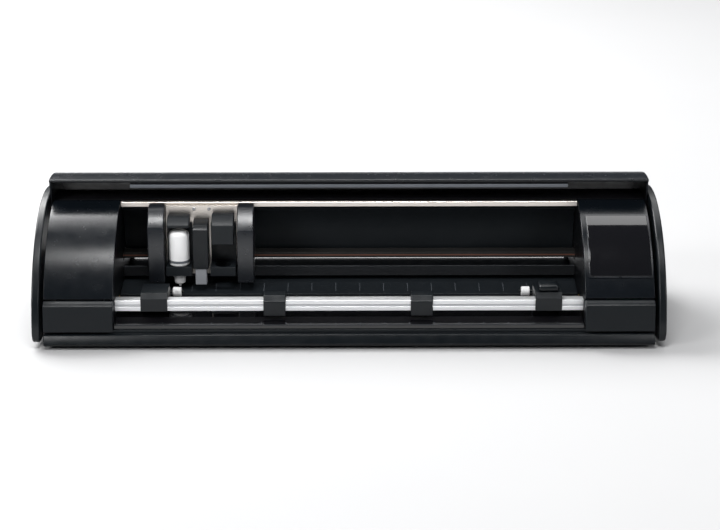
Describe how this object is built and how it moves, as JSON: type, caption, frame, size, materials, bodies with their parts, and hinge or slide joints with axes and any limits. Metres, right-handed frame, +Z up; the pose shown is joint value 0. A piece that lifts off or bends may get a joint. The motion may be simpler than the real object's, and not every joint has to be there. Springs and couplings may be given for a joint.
{
  "type": "vinyl cutter",
  "caption": "Wide desktop vinyl cutter with curved ends, a lid slid back open, pinch rollers on a bar, a tool carriage on a rail, a touch panel and a roll drawer.",
  "frame": {"origin": "on the ground, at the middle of the bounding box with the lid open", "axes": "+X along the width to the right, +Y to the back, +Z up"},
  "size_m": [0.65, 0.2286, 0.1502],
  "materials": {
    "casing_black": "satin gloss",
    "cover_black": "semi-gloss",
    "piano_black": "mirror gloss",
    "dark_plastic": "fine moulded grain",
    "white_plastic": "satin",
    "rubber_black": "matte",
    "board_green": "solder mask",
    "dark_steel": "satin black",
    "bright_aluminium": "extruded, satin",
    "cream_steel": "zinc plated",
    "steel": "brushed",
    "brass": "sintered"
  },
  "bodies": {
    "casing": {"back_wall": "dark_plastic", "base_chassis": "dark_plastic", "carriage_belt": "rubber_black", "carriage_motor": "steel", "carriage_rail": "cream_steel", "cutting_platen": "dark_plastic", "feed_belt": "rubber_black", "feed_motor": "steel", "foot_front_left": "rubber_black", "foot_front_right": "rubber_black", "foot_rear_left": "rubber_black", "foot_rear_right": "rubber_black", "front_platform": "piano_black", "guide_beam": "dark_steel", "idler_bracket": "steel", "left_end_cap": "casing_black", "left_lower_panel": "casing_black", "left_side_cover": "cover_black", "left_side_frame": "dark_steel", "main_board": "board_green", "pinch_holder_left": "casing_black", "power_inlet": "dark_plastic", "rear_cover": "dark_plastic", "right_end_cap": "casing_black", "right_lower_panel": "casing_black", "right_side_cover": "cover_black", "right_side_frame": "dark_steel", "roller_bar": "bright_aluminium", "shaft_bush_left": "brass", "shaft_bush_right": "brass", "top_cover": "cover_black", "touch_panel": "piano_black"},
    "lid": {"lid": "cover_black", "lid_arm_left": "dark_steel", "lid_arm_right": "dark_steel"},
    "drawer": {"drawer_front": "casing_black", "roll_drawer": "dark_plastic"},
    "feed_roller_front": {"feed_roller_front": "steel"},
    "feed_roller_rear": {"feed_roller_rear": "steel"},
    "carriage": {"carriage_body": "cream_steel", "carriage_cheek_left": "casing_black", "carriage_cheek_right": "casing_black", "centre_column": "casing_black", "mark_sensor": "dark_plastic"},
    "tool_left": {"tool_clamp_left": "dark_plastic", "blade_tool": "white_plastic"},
    "lever_left": {"lock_lever_left": "dark_plastic"},
    "tool_right": {"tool_clamp_right": "dark_plastic"},
    "lever_right": {"lock_lever_right": "dark_plastic"},
    "drive_shaft": {"grit_shaft": "steel", "shaft_pulley": "bright_aluminium"},
    "motor_pulley": {"motor_pulley": "brass"},
    "carriage_pulley": {"carriage_pulley": "bright_aluminium"},
    "idler_pulley": {"idler_pulley": "bright_aluminium"},
    "pinch_roller_left": {"pinch_roller_left": "white_plastic"},
    "pinch_holder_right": {"pinch_holder_right": "casing_black"},
    "pinch_roller_right": {"pinch_roller_right": "white_plastic"},
    "pinch_knob": {"pinch_knob": "piano_black"},
    "bar_guide_1": {"bar_guide_1": "casing_black"},
    "bar_guide_2": {"bar_guide_2": "casing_black"}
  },
  "joints": [
    {"name": "lid_hinge", "type": "hinge", "parent": "casing", "child": "lid", "pos_m": [0, 0.02778, 0.0187], "axis": [1, 0, 0], "range_deg": [0, 63]},
    {"name": "drawer_slide", "type": "slide", "parent": "casing", "child": "drawer", "axis": [0, -1, 0], "range_m": [0, 0.09]},
    {"name": "feed_roller_front_spin", "type": "hinge", "parent": "drawer", "child": "feed_roller_front", "pos_m": [0, -0.07562, 0.0103], "axis": [1, 0, 0], "continuous": true},
    {"name": "feed_roller_rear_spin", "type": "hinge", "parent": "drawer", "child": "feed_roller_rear", "pos_m": [0, -0.04062, 0.0103], "axis": [1, 0, 0], "continuous": true},
    {"name": "carriage_slide", "type": "slide", "parent": "casing", "child": "carriage", "axis": [1, 0, 0], "range_m": [-0.028, 0.338]},
    {"name": "tool_left_lift", "type": "slide", "parent": "carriage", "child": "tool_left", "axis": [0, 0, 1], "range_m": [-0.0018, 0.004]},
    {"name": "lock_left_pull", "type": "slide", "parent": "tool_left", "child": "lever_left", "axis": [0, -1, 0], "range_m": [0, 0.005]},
    {"name": "tool_right_lift", "type": "slide", "parent": "carriage", "child": "tool_right", "axis": [0, 0, 1], "range_m": [-0.0018, 0.004]},
    {"name": "lock_right_pull", "type": "slide", "parent": "tool_right", "child": "lever_right", "axis": [0, -1, 0], "range_m": [0, 0.005]},
    {"name": "shaft_spin", "type": "hinge", "parent": "casing", "child": "drive_shaft", "pos_m": [0, -0.04362, 0.0272], "axis": [1, 0, 0], "continuous": true},
    {"name": "motor_spin", "type": "hinge", "parent": "casing", "child": "motor_pulley", "pos_m": [-0.254, -0.00662, 0.044], "axis": [1, 0, 0], "continuous": true},
    {"name": "carriage_pulley_spin", "type": "hinge", "parent": "casing", "child": "carriage_pulley", "pos_m": [-0.262, 0.01538, 0.062], "axis": [0, 0, 1], "range_deg": [-245, 2910]},
    {"name": "idler_pulley_spin", "type": "hinge", "parent": "casing", "child": "idler_pulley", "pos_m": [0.262, 0.01538, 0.062], "axis": [0, 0, 1], "range_deg": [-245, 2910]},
    {"name": "pinch_roller_left_spin", "type": "hinge", "parent": "casing", "child": "pinch_roller_left", "pos_m": [-0.1808, -0.04362, 0.0389], "axis": [1, 0, 0], "continuous": true},
    {"name": "pinch_holder_slide", "type": "slide", "parent": "casing", "child": "pinch_holder_right", "axis": [1, 0, 0], "range_m": [-0.06, 0.012]},
    {"name": "pinch_roller_right_spin", "type": "hinge", "parent": "pinch_holder_right", "child": "pinch_roller_right", "pos_m": [0.1852, -0.04362, 0.0389], "axis": [1, 0, 0], "continuous": true},
    {"name": "pinch_knob_turn", "type": "hinge", "parent": "pinch_holder_right", "child": "pinch_knob", "pos_m": [0.2054, -0.07632, 0.055], "axis": [0, 0, 1], "range_deg": [0, 90]},
    {"name": "bar_guide_1_slide", "type": "slide", "parent": "casing", "child": "bar_guide_1", "axis": [1, 0, 0], "range_m": [-0.07, 0.05]},
    {"name": "bar_guide_2_slide", "type": "slide", "parent": "casing", "child": "bar_guide_2", "axis": [1, 0, 0], "range_m": [-0.05, 0.012]}
  ],
  "couplings": [
    {"joint": "motor_spin", "follows": "shaft_spin", "ratio": 1.35},
    {"joint": "pinch_roller_left_spin", "follows": "shaft_spin", "ratio": -1.2},
    {"joint": "pinch_roller_right_spin", "follows": "shaft_spin", "ratio": -1.2},
    {"joint": "carriage_pulley_spin", "follows": "carriage_slide", "rad_per_m": 149.25},
    {"joint": "idler_pulley_spin", "follows": "carriage_slide", "rad_per_m": 149.25}
  ]
}
